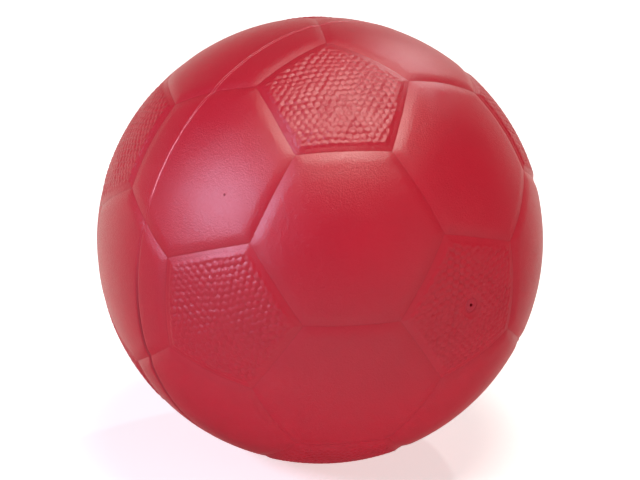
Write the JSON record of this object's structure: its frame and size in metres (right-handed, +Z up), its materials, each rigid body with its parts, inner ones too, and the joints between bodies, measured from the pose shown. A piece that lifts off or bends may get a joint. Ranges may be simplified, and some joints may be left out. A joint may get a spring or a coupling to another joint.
{
  "type": "playground rubber ball",
  "caption": "Moulded rubber playground ball with smooth hexagons, pebbled pentagons and a needle inflation valve.",
  "frame": {"origin": "centre of the ball", "axes": "-Y out of the ball along the inflation valve, so the joint of the two half covers lies in the XZ plane; +Z up as the ball lies, +X to the right of the valve when it is looked at from the front"},
  "size_m": [0.2158, 0.2147, 0.2156],
  "materials": {
    "cover_rubber": "satin moulded red rubber",
    "bead_rubber": "satin red rubber flash",
    "nylon_thread": "wound off-white nylon thread in latex",
    "butyl_rubber": "smooth black butyl",
    "patch_rubber": "matte brown gum rubber",
    "housing_rubber": "matte black rubber",
    "core_rubber": "matte dark red rubber"
  },
  "bodies": {
    "ball": {"cover_valve_half": "cover_rubber", "cover_plain_half": "cover_rubber", "joint_bead": "bead_rubber", "thread_winding": "nylon_thread", "bladder": "butyl_rubber", "valve_patch": "patch_rubber", "valve_housing": "housing_rubber"},
    "plug": {"valve_core": "core_rubber"}
  },
  "joints": [
    {"name": "valve_core_pull", "type": "slide", "parent": "ball", "child": "plug", "axis": [0, -1, 0], "range_m": [0, 0.024]}
  ]
}
